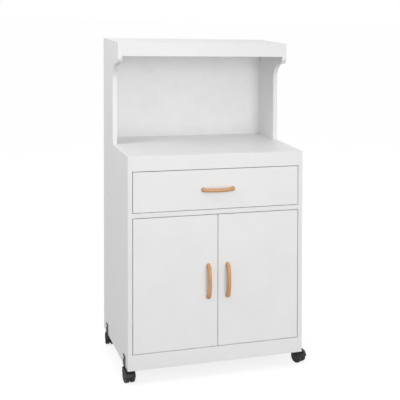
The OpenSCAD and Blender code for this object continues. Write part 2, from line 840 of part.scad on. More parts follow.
module hood_plan_profile() {
    translate([-half_span, -caster_trail - cover_r - 1])
        square([wheel_span, caster_trail + cover_r]);
    translate([0, neck_back - neck_r]) circle(r = neck_r);
}

// The two ears of a braked hood, in which the brake lever's pin turns.
module brake_ears() {
    for (side = [-1, 1])
        rod_x(side * (brake_w / 2 + brake_play + brake_ear_t / 2), brake_y, brake_z,
            brake_ear_r, brake_ear_t);
}

module brake_slot() {
    rod_x(0, brake_y, brake_z, brake_ear_r + 1, brake_w + 2 * brake_play);
    rod_x(0, brake_y, brake_z, brake_pin_r + shaft_fit, wheel_span);
}

module caster_hood(braked) {
    difference() {
        union() {
            intersection() {
                translate([-half_span - 1, 0, 0]) rotate([90, 0, 90])
                    linear_extrude(wheel_span + 2) hood_side_profile();
                linear_extrude(caster_h) hood_plan_profile();
            }
            if (braked) brake_ears();
        }
        if (braked) brake_slot();
        for (side = [-1, 1])
            rod_x(side * (web_half + half_span), -caster_trail, wheel_r, well_r, wheel_span);
        rod_x(0, -caster_trail, wheel_r, axle_r, wheel_span);
        translate([0, 0, kingpin_low]) cylinder(r = kingpin_r, h = caster_h);
    }
}

// The swivel pin with its retaining collar, and the axle.
module caster_pins() {
    translate([0, 0, kingpin_low]) cylinder(r = kingpin_r, h = kingpin_top - kingpin_low);
    translate([0, 0, caster_h + clip_lift]) cylinder(r = clip_r, h = clip_t);
    rod_x(0, -caster_trail, wheel_r, axle_r, wheel_span - 1);
}

// Section of one wheel: [radius, distance from the middle of the caster].
wheel_rim_t = 4;
wheel_hub_t = 3;
wheel_disc_in = 1.5; // from the rim's face in to the disc
wheel_hub_in = 0.5; // from the rim's face in to the hub's face
module wheel_profile() {
    inner = web_half + side_gap;
    rim = wheel_r - wheel_rim_t;
    hub = axle_r + wheel_hub_t;
    disc = half_span - wheel_disc_in;
    hub_face = half_span - wheel_hub_in;
    polygon([
        [axle_r + shaft_fit, inner], [wheel_r - 1, inner], [wheel_r, inner + 1],
        [wheel_r, half_span - 2], [wheel_r - 2, half_span], [rim, half_span],
        [rim - 1, disc], [hub + 1, disc], [hub, hub_face], [axle_r + shaft_fit, hub_face]
    ]);
}

module caster_wheels() {
    for (side = [0, 1]) mirror([side, 0, 0])
        translate([0, -caster_trail, wheel_r]) rotate([0, 90, 0])
            rotate_extrude() wheel_profile();
}

// The brake lever: a boss between the ears, its pin, and the tab for the foot.
brake_w = 14;
brake_boss_r = 3;
brake_pin_r = 1.5;
brake_pin_l = 20.4;
brake_ear_r = 3.2;
brake_ear_t = 3.4;
brake_play = 0.3;
brake_tab_t = 2.2;
brake_y = -caster_trail - 15;
brake_z = wheel_r + 19.4;
brake_path = [
    [brake_y, brake_z], [brake_y - 4, brake_z + 3.4], [brake_y - 9.5, brake_z + 4.4]
];

module brake_lever() {
    rod_x(0, brake_y, brake_z, brake_boss_r, brake_w);
    rod_x(0, brake_y, brake_z, brake_pin_r, brake_pin_l);
    translate([-brake_w / 2, 0, 0]) rotate([90, 0, 90])
        linear_extrude(brake_w) polygon(strip(brake_path, brake_tab_t));
}

module brake_lever_front_left() color(black_colour) at_caster(0) brake_lever();
module brake_lever_front_right() color(black_colour) at_caster(1) brake_lever();

module caster_hood_front_left() color(black_colour) at_caster(0) caster_hood(true);
module caster_pins_front_left() color(steel_colour) at_caster(0) caster_pins();
module caster_wheels_front_left() color(black_colour) at_caster(0) caster_wheels();
module caster_hood_front_right() color(black_colour) at_caster(1) caster_hood(true);
module caster_pins_front_right() color(steel_colour) at_caster(1) caster_pins();
module caster_wheels_front_right() color(black_colour) at_caster(1) caster_wheels();
module caster_hood_rear_left() color(black_colour) at_caster(2) caster_hood(false);
module caster_pins_rear_left() color(steel_colour) at_caster(2) caster_pins();
module caster_wheels_rear_left() color(black_colour) at_caster(2) caster_wheels();
module caster_hood_rear_right() color(black_colour) at_caster(3) caster_hood(false);
module caster_pins_rear_right() color(steel_colour) at_caster(3) caster_pins();
module caster_wheels_rear_right() color(black_colour) at_caster(3) caster_wheels();

// ---- the sub-parts ----

side_panel_left();
side_panel_right();
worktop();
worktop_rail();
top_shelf();
top_rail();
mid_board();
bottom_board();
plinth();
back_panel_lower();
back_panel_upper();
cabinet_shelf();
shelf_pins();
cam_fasteners();
wood_dowels();
back_panel_screws();
drawer_front();
drawer_side_left();
drawer_side_right();
drawer_back();
drawer_bottom();
drawer_handle();
drawer_fasteners();
runner_cabinet_left();
runner_cabinet_right();
runner_drawer_left();
runner_drawer_right();
front_roller_left();
front_roller_right();
rear_roller_left();
rear_roller_right();
door_left();
door_handle_left();
door_handle_screws_left();
hinge_cups_left();
hinge_pins_left();
hinge_arms_left();
door_right();
door_handle_right();
door_handle_screws_right();
hinge_cups_right();
hinge_pins_right();
hinge_arms_right();
hinge_screws();
caster_brackets();
caster_bracket_screws();
brake_lever_front_left();
brake_lever_front_right();
caster_hood_front_left();
caster_pins_front_left();
caster_wheels_front_left();
caster_hood_front_right();
caster_pins_front_right();
caster_wheels_front_right();
caster_hood_rear_left();
caster_pins_rear_left();
caster_wheels_rear_left();
caster_hood_rear_right();
caster_pins_rear_right();
caster_wheels_rear_right();
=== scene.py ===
import math

import bmesh
import bpy
from mathutils import Matrix, Vector
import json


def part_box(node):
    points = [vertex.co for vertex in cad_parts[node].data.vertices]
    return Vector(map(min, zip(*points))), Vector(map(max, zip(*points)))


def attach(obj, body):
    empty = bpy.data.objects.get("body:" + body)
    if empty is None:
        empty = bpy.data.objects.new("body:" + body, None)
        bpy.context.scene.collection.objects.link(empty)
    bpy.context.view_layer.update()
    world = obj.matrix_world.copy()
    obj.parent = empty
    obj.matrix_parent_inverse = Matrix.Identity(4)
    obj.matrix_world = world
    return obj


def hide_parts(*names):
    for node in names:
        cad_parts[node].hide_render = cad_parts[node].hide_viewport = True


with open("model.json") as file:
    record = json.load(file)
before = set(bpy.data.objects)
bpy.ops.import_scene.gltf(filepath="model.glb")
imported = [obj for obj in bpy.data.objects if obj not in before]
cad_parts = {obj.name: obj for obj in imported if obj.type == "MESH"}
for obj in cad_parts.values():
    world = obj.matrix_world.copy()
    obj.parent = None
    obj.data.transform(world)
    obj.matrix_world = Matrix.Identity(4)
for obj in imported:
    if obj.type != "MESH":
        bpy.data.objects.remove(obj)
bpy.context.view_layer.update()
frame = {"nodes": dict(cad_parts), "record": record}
nodes = frame["nodes"]
bodyOf = {}
for bodyName, held in frame["record"]["behaviour"]["bodies"].items():
    for nodeName in held:
        bodyOf[nodeName] = bodyName
print("frame loaded:", len(nodes), "nodes")


# the camera of the photograph

photoView = {
    "eye": (-0.90816, -2.70641, 1.25142),
    "right": (0.94878, -0.31593, 0.00124),
    "up": (0.00794, 0.02778, 0.99958),
    "ahead": (0.31583, 0.94838, -0.02886),
    "focal": 837.466,  # in pixels of the 400 pixel picture
    "axisAt": (199.925, 15.005),  # where the lens looks straight ahead, in pixels
    "skew": 0.029903,
    "picture": 400,
    "sensor": 36,
}


def placeCamera(view):
    right, up, ahead = (Vector(view[name]) for name in ("right", "up", "ahead"))
    middle = view["picture"] / 2
    across = (middle - view["axisAt"][0]) / view["focal"]
    down = (middle - view["axisAt"][1]) / view["focal"]
    sight = ahead + right * across - up * down  # through the middle of the picture
    turn = Matrix((right + up * view["skew"], up, -sight.normalized())).transposed()
    holder = bpy.data.objects.new("cameraHolder", None)
    bpy.context.collection.objects.link(holder)
    camera = bpy.data.objects.new("camera", bpy.data.cameras.new("camera"))
    bpy.context.collection.objects.link(camera)
    camera.data.sensor_width = view["sensor"]
    camera.data.lens = view["focal"] * sight.length / view["picture"] * view["sensor"]
    camera.parent = holder
    # the upright lines of the photograph need this slanted matrix in place of a lens shift
    camera.matrix_parent_inverse = Matrix.Translation(view["eye"]) @ turn.to_4x4()
    bpy.context.scene.camera = camera


placeCamera(photoView)
print("camera placed")


# colours and nodes


def toLinear(colour):
    parts = [int(colour[i : i + 2], 16) / 255 for i in (1, 3, 5)]
    return tuple(c / 12.92 if c <= 0.04045 else ((c + 0.055) / 1.055) ** 2.4 for c in parts) + (1,)


def addNode(tree, kind, settings=None, links=None):
    node = tree.nodes.new("ShaderNode" + kind)
    for name, value in (settings or {}).items():
        if isinstance(name, str) and hasattr(node, name):
            setattr(node, name, value)
        else:
            node.inputs[name].default_value = value
    for name, source in (links or {}).items():
        tree.links.new(source, node.inputs[name])
    return node


def newMaterial(name):
    material = bpy.data.materials.new(name)
    material.use_nodes = True
    material.node_tree.nodes.clear()
    return material, material.node_tree


# light, floor and background

studio = {
    "skyColour": "#FFFFFF",
    "skyLight": 0.7,
    "lamps": [
        # name, colour, watts, size, place, what it points at
        ("keyLamp", "#FFFFFF", 46, 2.0, (0.25, -3.1, 1.2), (-0.1, 0, 0.4)),
        ("fillLamp", "#FFFFFF", 12.5, 0.8, (-1.6, -0.3, 2.1), (-0.3, 0, 0.9)),
    ],
    "floorColour": "#8E8E8E",
    "floorGlow": 0.8,
    "floorSize": 60,
}


def buildStudio(values):
    world = bpy.data.worlds.new("studio")
    bpy.context.scene.world = world
    world.use_nodes = True
    tree = world.node_tree
    tree.nodes.clear()
    path = addNode(tree, "LightPath")
    seen = addNode(
        tree,
        "Math",
        {"operation": "MAXIMUM"},
        {0: path.outputs["Is Camera Ray"], 1: path.outputs["Is Glossy Ray"]},
    )
    clear = addNode(
        tree,
        "Math",
        {"operation": "MAXIMUM"},
        {0: seen.outputs[0], 1: path.outputs["Is Transmission Ray"]},
    )
    sky = addNode(
        tree, "Background", {"Color": toLinear(values["skyColour"]), "Strength": values["skyLight"]}
    )
    white = addNode(tree, "Background", {"Color": (1, 1, 1, 1), "Strength": 1})
    mix = addNode(
        tree, "MixShader", None, {0: clear.outputs[0], 1: sky.outputs[0], 2: white.outputs[0]}
    )
    addNode(tree, "OutputWorld", None, {"Surface": mix.outputs[0]})

    for name, colour, watts, size, place, target in values["lamps"]:
        lamp = bpy.data.lights.new(name, "AREA")
        lamp.color = toLinear(colour)[:3]
        lamp.energy, lamp.size = watts, size
        holder = bpy.data.objects.new(name, lamp)
        bpy.context.collection.objects.link(holder)
        holder.location = place
        aim = Vector(target) - Vector(place)
        holder.rotation_euler = aim.to_track_quat("-Z", "Y").to_euler()

    material, tree = newMaterial("studioFloor")
    path = addNode(tree, "LightPath")
    diffuse = addNode(tree, "BsdfDiffuse", {"Color": toLinear(values["floorColour"])})
    seen = addNode(
        tree,
        "Math",
        {"operation": "MAXIMUM"},
        {0: path.outputs["Is Camera Ray"], 1: path.outputs["Is Glossy Ray"]},
    )
    level = addNode(
        tree, "Math", {"operation": "MULTIPLY", 1: values["floorGlow"]}, {0: seen.outputs[0]}
    )
    glow = addNode(tree, "Emission", None, {"Strength": level.outputs[0]})
    both = addNode(tree, "AddShader", None, {0: diffuse.outputs[0], 1: glow.outputs[0]})
    addNode(tree, "OutputMaterial", None, {"Surface": both.outputs[0]})
    bpy.ops.mesh.primitive_plane_add(size=values["floorSize"])
    floor = bpy.context.object
    floor.name = "studioFloor"
    floor.data.materials.append(material)


bpy.ops.object.select_all(action="DESELECT")
buildStudio(studio)
bpy.context.scene.view_settings.view_transform = "Standard"
print("studio lit")


# materials


def makeSurface(values):
    material, tree = newMaterial(values["name"])
    place = addNode(tree, "TexCoord")
    cloud = addNode(
        tree,
        "TexNoise",
        {"Scale": 1000 / values["toneSize"], "Detail": 4, "Roughness": 0.6},
        {"Vector": place.outputs["Object"]},
    )
    tone = addNode(tree, "ValToRGB", None, {"Fac": cloud.outputs["Fac"]})
    for stop, at, colour in zip(tone.color_ramp.elements, (0.35, 0.65), values["tones"]):
        stop.position, stop.color = at, toLinear(colour)
    grain = addNode(
        tree,
        "TexNoise",
        {"Scale": 1000 / values["grainSize"], "Detail": 2, "Roughness": 0.55},
        {"Vector": place.outputs["Object"]},
    )
    relief = addNode(
        tree,
        "Bump",
        {"Strength": 1, "Distance": values["grainDepth"] / 1000},
        {"Height": grain.outputs["Fac"]},
    )
    polish = addNode(
        tree,
        "MapRange",
        {
            "From Min": 0.3,
            "From Max": 0.7,
            "To Min": values["rough"][0],
            "To Max": values["rough"][1],
        },
        {"Value": cloud.outputs["Fac"]},
    )
    surface = addNode(
        tree,
        "BsdfPrincipled",
        values.get("shader", {}),
        {
            "Base Color": tone.outputs["Color"],
            "Roughness": polish.outputs["Result"],
            "Normal": relief.outputs["Normal"],
        },
    )
    addNode(tree, "OutputMaterial", None, {"Surface": surface.outputs[0]})
    return material


# sizes of tones and grain are in millimetres
surfaces = [
    {
        "name": "whiteMelamineBoard",  # pressed melamine paper: satin, faintly pebbled
        "tones": ("#E8E8E8", "#EBEBEC"),
        "toneSize": 140,
        "grainSize": 3,  # the real pebble is 0.6 mm, too fine to show
        "grainDepth": 0.06,
        "rough": (0.38, 0.42),
        "shader": {"IOR": 1.5},
    },
    {
        "name": "whiteEdgeBand",  # glued-on plastic strip: a little smoother and warmer
        "tones": ("#E6E6E6", "#EAEAEA"),
        "toneSize": 60,
        "grainSize": 2,
        "grainDepth": 0.02,
        "rough": (0.3, 0.36),
        "shader": {"IOR": 1.5},
    },
    {
        "name": "foiledDrawerBoard",  # paper foil over chipboard: matter and greyer than the fronts
        "tones": ("#DEDEDC", "#E3E3E2"),
        "toneSize": 90,
        "grainSize": 2.5,
        "grainDepth": 0.05,
        "rough": (0.48, 0.58),
        "shader": {"IOR": 1.48},
    },
    {
        "name": "paintedHardboardFace",  # rolled white paint over pressed fibre: soft waves
        "tones": ("#E3E3E3", "#E8E8E8"),
        "toneSize": 70,
        "grainSize": 5,
        "grainDepth": 0.12,
        "rough": (0.42, 0.52),
        "shader": {"IOR": 1.5},
    },
    {
        "name": "powderCoatedRunner",  # baked powder on sheet steel: orange peel under a gloss
        "tones": ("#E6E6E2", "#EAEAE7"),
        "toneSize": 50,
        "grainSize": 2,
        "grainDepth": 0.08,
        "rough": (0.26, 0.34),
        "shader": {"IOR": 1.5, "Coat Weight": 0.3, "Coat Roughness": 0.12},
    },
    {
        "name": "mouldedNylonRoller",  # natural nylon: milky, light shines into it
        "tones": ("#DEDACB", "#E4E1D5"),
        "toneSize": 8,
        "grainSize": 1,
        "grainDepth": 0.02,
        "rough": (0.32, 0.42),
        "shader": {"IOR": 1.53, "Subsurface Weight": 0.25, "Subsurface Scale": 0.003},
    },
    {
        "name": "nickelPlatedSteel",  # pressed and barrel plated: warm, blurred mirror
        "tones": ("#B7B1A6", "#C4BFB5"),
        "toneSize": 6,
        "grainSize": 1.2,
        "grainDepth": 0.02,
        "rough": (0.2, 0.32),
        "shader": {"Metallic": 1},
    },
    {
        "name": "zincPlatedSteel",  # bright zinc: cool and slightly cloudy
        "tones": ("#BFC4C8", "#CDD0D1"),
        "toneSize": 4,
        "grainSize": 1,
        "grainDepth": 0.015,
        "rough": (0.24, 0.4),
        "shader": {"Metallic": 1},
    },
    {
        "name": "blackLacqueredSteel",  # dipped lacquer: dull sheen with fine dimples
        "tones": ("#171718", "#1C1C1E"),
        "toneSize": 20,
        "grainSize": 1.5,
        "grainDepth": 0.06,
        "rough": (0.42, 0.5),
        "shader": {"IOR": 1.5, "Specular IOR Level": 0.3, "Coat Weight": 0.05},
    },
    {
        "name": "mouldedBlackHood",  # spark-eroded mould: even matt grain
        "tones": ("#1D1D1E", "#232324"),
        "toneSize": 12,
        "grainSize": 0.9,
        "grainDepth": 0.09,
        "rough": (0.46, 0.56),
        "shader": {"IOR": 1.53, "Specular IOR Level": 0.3},
    },
    {
        "name": "mouldedBlackWheel",  # hard nylon polished by rolling: darker with grey scuffs
        "tones": ("#1B1B1C", "#252526"),
        "toneSize": 5,
        "grainSize": 0.8,
        "grainDepth": 0.05,
        "rough": (0.36, 0.52),
        "shader": {"IOR": 1.53, "Specular IOR Level": 0.35},
    },
]
finishes = {values["name"]: makeSurface(values) for values in surfaces}


beech = {
    "pale": "#D3A273",
    "deep": "#B88759",
    "fleck": "#94653F",
    "ringSize": 3.2,  # width of a year ring, in mm
    "fleckSize": 0.7,  # real flecks are 0.3 mm wide, too fine to show
    "drawnOut": 14,  # how much longer than wide the grain runs
    "relief": 0.05,
    "rough": (0.34, 0.46),
}


def makeBeech(name, along, values):
    material, tree = newMaterial(name)
    place = addNode(tree, "TexCoord")
    drawnOut = [values["drawnOut"] if axis != along else 1 for axis in "xyz"]
    run = addNode(tree, "Mapping", {"Scale": drawnOut}, {"Vector": place.outputs["Object"]})
    unit = 1000 / values["drawnOut"]  # noise cells across the grain, per metre and millimetre
    rings = addNode(
        tree,
        "TexNoise",
        {"Scale": unit / values["ringSize"], "Detail": 3, "Roughness": 0.5, "Distortion": 0.4},
        {"Vector": run.outputs[0]},
    )
    wood = addNode(tree, "ValToRGB", None, {"Fac": rings.outputs["Fac"]})
    for stop, at, colour in zip(wood.color_ramp.elements, (0.36, 0.62), ("deep", "pale")):
        stop.position, stop.color = at, toLinear(values[colour])
    flecks = addNode(
        tree,
        "TexNoise",
        {"Scale": unit / values["fleckSize"], "Detail": 1, "Roughness": 0.4},
        {"Vector": run.outputs[0]},
    )
    share = addNode(
        tree,
        "MapRange",
        {"From Min": 0.62, "From Max": 0.74, "To Min": 0, "To Max": 0.45},
        {"Value": flecks.outputs["Fac"]},
    )
    colour = addNode(
        tree,
        "Mix",
        {"data_type": "RGBA", 7: toLinear(values["fleck"])},
        {0: share.outputs["Result"], 6: wood.outputs["Color"]},
    )
    relief = addNode(
        tree,
        "Bump",
        {"Strength": 1, "Distance": values["relief"] / 1000},
        {"Height": flecks.outputs["Fac"]},
    )
    polish = addNode(
        tree,
        "MapRange",
        {
            "From Min": 0.3,
            "From Max": 0.7,
            "To Min": values["rough"][0],
            "To Max": values["rough"][1],
        },
        {"Value": rings.outputs["Fac"]},
    )
    surface = addNode(
        tree,
        "BsdfPrincipled",
        {"IOR": 1.5, "Coat Weight": 0.2, "Coat Roughness": 0.3},
        {
            "Base Color": colour.outputs[2],
            "Roughness": polish.outputs["Result"],
            "Normal": relief.outputs["Normal"],
        },
    )
    addNode(tree, "OutputMaterial", None, {"Surface": surface.outputs[0]})
    return material


# lacquered beech: the grain runs along the bar
finishes["beechGrainUpright"] = makeBeech("beechGrainUpright", "z", beech)
finishes["beechGrainLevel"] = makeBeech("beechGrainLevel", "x", beech)


hardboard = {
    "pale": "#9A7650",
    "deep": "#7C5A39",
    "meshPitch": 3.5,  # the screen marks are 1.5 mm apart, too fine to show
    "meshDepth": 0.25,
    "fibreSize": 9,
    "rough": (0.7, 0.85),
}


def makeHardboardBack(values):
    material, tree = newMaterial("pressedFibreBack")  # wet-pressed on a wire screen: brown waffle
    place = addNode(tree, "TexCoord")
    fibres = addNode(
        tree,
        "TexNoise",
        {"Scale": 1000 / values["fibreSize"], "Detail": 6, "Roughness": 0.7},
        {"Vector": place.outputs["Object"]},
    )
    tone = addNode(tree, "ValToRGB", None, {"Fac": fibres.outputs["Fac"]})
    for stop, at, colour in zip(tone.color_ramp.elements, (0.3, 0.7), ("deep", "pale")):
        stop.position, stop.color = at, toLinear(values[colour])
    waves = [
        addNode(
            tree,
            "TexWave",
            {
                "wave_type": "BANDS",
                "bands_direction": direction,
                "Scale": 1000 / values["meshPitch"] * math.pi / 10,
                "Distortion": 0.6,
            },
            {"Vector": place.outputs["Object"]},
        )
        for direction in ("X", "Z")
    ]
    mesh = addNode(
        tree,
        "Math",
        {"operation": "MULTIPLY"},
        {0: waves[0].outputs["Fac"], 1: waves[1].outputs["Fac"]},
    )
    relief = addNode(
        tree,
        "Bump",
        {"Strength": 1, "Distance": values["meshDepth"] / 1000},
        {"Height": mesh.outputs[0]},
    )
    polish = addNode(
        tree,
        "MapRange",
        {"To Min": values["rough"][0], "To Max": values["rough"][1]},
        {"Value": fibres.outputs["Fac"]},
    )
    surface = addNode(
        tree,
        "BsdfPrincipled",
        {"IOR": 1.45},
        {
            "Base Color": tone.outputs["Color"],
            "Roughness": polish.outputs["Result"],
            "Normal": relief.outputs["Normal"],
        },
    )
    addNode(tree, "OutputMaterial", None, {"Surface": surface.outputs[0]})
    return material


finishes["pressedFibreBack"] = makeHardboardBack(hardboard)
print("finishes made:", len(finishes))


# shared steps

mending = {
    "weld": 0.00001,  # corners closer than this are one, in metres
    "flatWithin": math.radians(0.5),  # faces this close to one plane are joined
    "sharpFrom": math.radians(40),  # edges that get rounded
    "smoothTo": math.radians(32),  # edges that are shaded softly
    "broadFrom": 0.00005,  # faces larger than this many square metres are shaded flat
}


def workOn(piece):
    if bpy.context.mode != "OBJECT":
        bpy.ops.object.mode_set(mode="OBJECT")
    bpy.ops.object.select_all(action="DESELECT")
    piece.select_set(True)
    bpy.context.view_layer.objects.active = piece


def copyOfNode(nodeName, pieceName, dissolve=True, values=mending):
    piece = bpy.data.objects.new(pieceName, nodes[nodeName].data.copy())
    bpy.context.collection.objects.link(piece)
    piece.data.materials.clear()
    workOn(piece)
    bpy.ops.object.mode_set(mode="EDIT")
    bpy.ops.mesh.select_all(action="SELECT")
    bpy.ops.mesh.remove_doubles(threshold=values["weld"])
    if dissolve:
        bpy.ops.mesh.dissolve_limited(angle_limit=values["flatWithin"])
    bpy.ops.object.mode_set(mode="OBJECT")
    return piece


def softenEdges(piece, width, shortest, values=mending):
    workOn(piece)
    bpy.ops.object.mode_set(mode="EDIT")
    bpy.ops.mesh.select_mode(type="EDGE")
    bpy.ops.mesh.select_all(action="DESELECT")
    bpy.ops.mesh.edges_select_sharp(sharpness=values["sharpFrom"])
    mesh = bmesh.from_edit_mesh(piece.data)
    waiting = {edge for edge in mesh.edges if edge.select}
    while waiting:  # a run of joined sharp edges smaller than shortest is a drilled hole
        run, front = [], [waiting.pop()]
        while front:
            edge = front.pop()
            run.append(edge)
            for corner in edge.verts:
                for other in corner.link_edges:
                    if other in waiting:
                        waiting.remove(other)
                        front.append(other)
        places = [corner.co for edge in run for corner in edge.verts]
        size = max(max(v[i] for v in places) - min(v[i] for v in places) for i in range(3))
        if size < shortest:
            for edge in run:
                edge.select = False
    bmesh.update_edit_mesh(piece.data)
    bpy.ops.mesh.bevel(offset=width, segments=2, affect="EDGES", clamp_overlap=False)
    bpy.ops.object.mode_set(mode="OBJECT")
    bpy.ops.object.shade_smooth_by_angle(angle=values["smoothTo"])
    for polygon in piece.data.polygons:  # broad faces stay flat, so that their light is even
        if polygon.area > values["broadFrom"]:
            polygon.use_smooth = False


def numberAlike(mesh):
    # spinning and extruding number corners and faces differently from run to run
    edit = bmesh.new()
    edit.from_mesh(mesh)

    def placesOf(element):  # a corner stands for itself
        return sorted(tuple(corner.co) for corner in getattr(element, "verts", [element]))

    for elements in (edit.verts, edit.edges, edit.faces):
        ranks = {element: rank for rank, element in enumerate(sorted(elements, key=placesOf))}
        elements.sort(key=ranks.get)
    edit.to_mesh(mesh)
    edit.free()


def pieceName(nodeName):
    words = nodeName.split("_")
    return words[0] + "".join(word.capitalize() for word in words[1:] or ["board"])


def settle(piece, nodeName, slotName, *names):
    for name in names:
        piece.data.materials.append(finishes[name])
    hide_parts(nodeName)
    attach(piece, bodyOf[nodeName])


# chipboards: faces of melamine, edges banded

boards = {
    "round": 0.0006,  # radius that the trimmed band leaves
    "holesUnder": 0.045,
    "edgeShare": 0.98,  # faces turned further than this from the board's flat are banded
}


def softBoard(nodeName, slotName, face, edge, values=boards):
    piece = copyOfNode(nodeName, pieceName(nodeName))
    low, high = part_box(nodeName)
    size = high - low
    thin = min(range(3), key=lambda i: size[i])
    softenEdges(piece, values["round"], values["holesUnder"])
    for polygon in piece.data.polygons:
        polygon.material_index = 0 if abs(polygon.normal[thin]) > values["edgeShare"] else 1
    settle(piece, nodeName, slotName, face, edge)


for nodeName in (
    "side_panel_left",
    "side_panel_right",
    "worktop",
    "worktop_rail",
    "top_shelf",
    "top_rail",
    "mid_board",
    "bottom_board",
    "plinth",
    "cabinet_shelf",
    "drawer_front",
    "door_left",
    "door_right",
):
    softBoard(nodeName, "white_melamine", "whiteMelamineBoard", "whiteEdgeBand")
for nodeName in ("drawer_side_left", "drawer_side_right", "drawer_back"):
    softBoard(nodeName, "drawer_board", "foiledDrawerBoard", "foiledDrawerBoard")
print("boards softened")


# hardboard: painted on the side that shows, bare fibre behind

panels = {"back_panel_lower": (1, 1), "back_panel_upper": (1, 1), "drawer_bottom": (2, -1)}


def hardboardPanel(nodeName, bareSide):
    piece = copyOfNode(nodeName, pieceName(nodeName), dissolve=False)
    axis, sign = bareSide
    workOn(piece)
    bpy.ops.object.shade_flat()
    for polygon in piece.data.polygons:
        polygon.material_index = 1 if polygon.normal[axis] * sign > 0.5 else 0
    settle(piece, nodeName, "white_hardboard", "paintedHardboardFace", "pressedFibreBack")


for nodeName, bareSide in panels.items():
    hardboardPanel(nodeName, bareSide)
print("hardboard panels made")


# bow handles

bow = {
    "span": 0.102,
    "bar": 0.006,
    "rise": 0.025,
    "slope": math.radians(15),  # where the wide arc meets the tight one
    "footRadius": 0.0075,
    "footHeight": 0.003,
    "around": 32,
    "wideSteps": 7,
    "tightSteps": 12,
    "footRings": [(0.2, 1.0), (0.55, 1.06), (0.85, 1.22), (1.0, 1.25)],
}


def bowHandle(nodeName, along, finish, values=bow):
    low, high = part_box(nodeName)
    middle = (low + high) / 2
    half = values["span"] / 2
    slope = values["slope"]
    reach = values["rise"] - values["bar"] - values["footHeight"]
    tight = (reach * math.sin(slope) - half * (1 - math.cos(slope))) / (
        math.cos(slope) * math.sin(slope) - (1 - math.sin(slope)) * (1 - math.cos(slope))
    )
    wide = (half - tight * (1 - math.sin(slope))) / math.sin(slope)
    barAt = values["bar"] - values["rise"]
    bpy.ops.mesh.primitive_circle_add(
        vertices=values["around"], radius=values["bar"], location=(0, barAt, 0), fill_type="NOTHING"
    )
    piece = bpy.context.object
    piece.name = pieceName(nodeName)
    bpy.ops.object.transform_apply(location=True, rotation=True, scale=True)
    bpy.ops.object.mode_set(mode="EDIT")
    bpy.ops.mesh.select_all(action="SELECT")
    turn = {"axis": (1, 0, 0)}
    bpy.ops.mesh.spin(steps=values["wideSteps"], angle=slope, center=(0, barAt + wide, 0), **turn)
    apart = wide - tight  # between the middles of the two arcs
    tightCentre = (0, barAt + wide - apart * math.cos(slope), apart * math.sin(slope))
    bpy.ops.mesh.spin(
        steps=values["tightSteps"], angle=math.radians(90) - slope, center=tightCentre, **turn
    )
    at, grown = 0, 1
    for share, grow in values["footRings"]:  # a flare that sits on the front
        bpy.ops.mesh.extrude_region_move(
            TRANSFORM_OT_translate={"value": (0, (share - at) * values["footHeight"], 0)}
        )
        bpy.ops.transform.resize(
            value=(grow / grown, 1, grow / grown),
            center_override=(0, 0, half),
            orient_type="GLOBAL",
        )
        at, grown = share, grow
    bpy.ops.mesh.edge_face_add()
    bpy.ops.object.mode_set(mode="OBJECT")
    workOn(piece)
    mirror = piece.modifiers.new("otherHalf", "MIRROR")
    mirror.use_axis = (False, False, True)
    mirror.merge_threshold = 0.0001
    bpy.ops.object.modifier_apply(modifier=mirror.name)
    bpy.ops.object.mode_set(mode="EDIT")
    bpy.ops.mesh.select_all(action="SELECT")
    bpy.ops.mesh.remove_doubles(threshold=mending["weld"])
    bpy.ops.mesh.normals_make_consistent(inside=False)
    bpy.ops.object.mode_set(mode="OBJECT")
    numberAlike(piece.data)
    bpy.ops.object.shade_smooth_by_angle(angle=math.radians(50))
    lay = Matrix.Rotation(math.radians(90), 4, "Y") if along == "x" else Matrix()
    piece.data.transform(Matrix.Translation((middle.x, high.y, middle.z)) @ lay)
    settle(piece, nodeName, "beech_handle", finish)


bowHandle("door_handle_left", "z", "beechGrainUpright")
bowHandle("door_handle_right", "z", "beechGrainUpright")
bowHandle("drawer_handle", "x", "beechGrainLevel")
print("handles turned")


# screws: each one is placed where the CAD node has one of its solids


def solidsOf(nodeName):
    mesh = bmesh.new()
    mesh.from_mesh(nodes[nodeName].data)
    bmesh.ops.remove_doubles(mesh, verts=mesh.verts, dist=mending["weld"])
    left, solids = set(mesh.verts), []
    while left:
        front, group = [left.pop()], []
        while front:
            corner = front.pop()
            group.append(corner.co.copy())
            for edge in corner.link_edges:
                other = edge.other_vert(corner)
                if other in left:
                    left.remove(other)
                    front.append(other)
        solids.append(group)
    mesh.free()
    # a set has no order of its own: by place, so that each run numbers the solids alike
    return sorted(solids, key=lambda group: [round(v, 4) for v in boxOf(group)[0]])


def boxOf(places):
    low = Vector([min(v[i] for v in places) for i in range(3)])
    high = Vector([max(v[i] for v in places) for i in range(3)])
    return low, high


screwShape = {
    "around": 32,
    "crown": 0.3,  # how far the head's top edge is rounded, as a share of its height
    "crossWide": 0.26,  # width of a slot of the cross, as a share of the head's radius
    "crossLong": 0.62,
    "crossDeep": 0.55,  # share of the head's height
    "pitch": 0.9,  # turns of the thread per shaft radius
    "crest": 0.86,  # radius of the thread's root, as a share of the shaft's radius
}


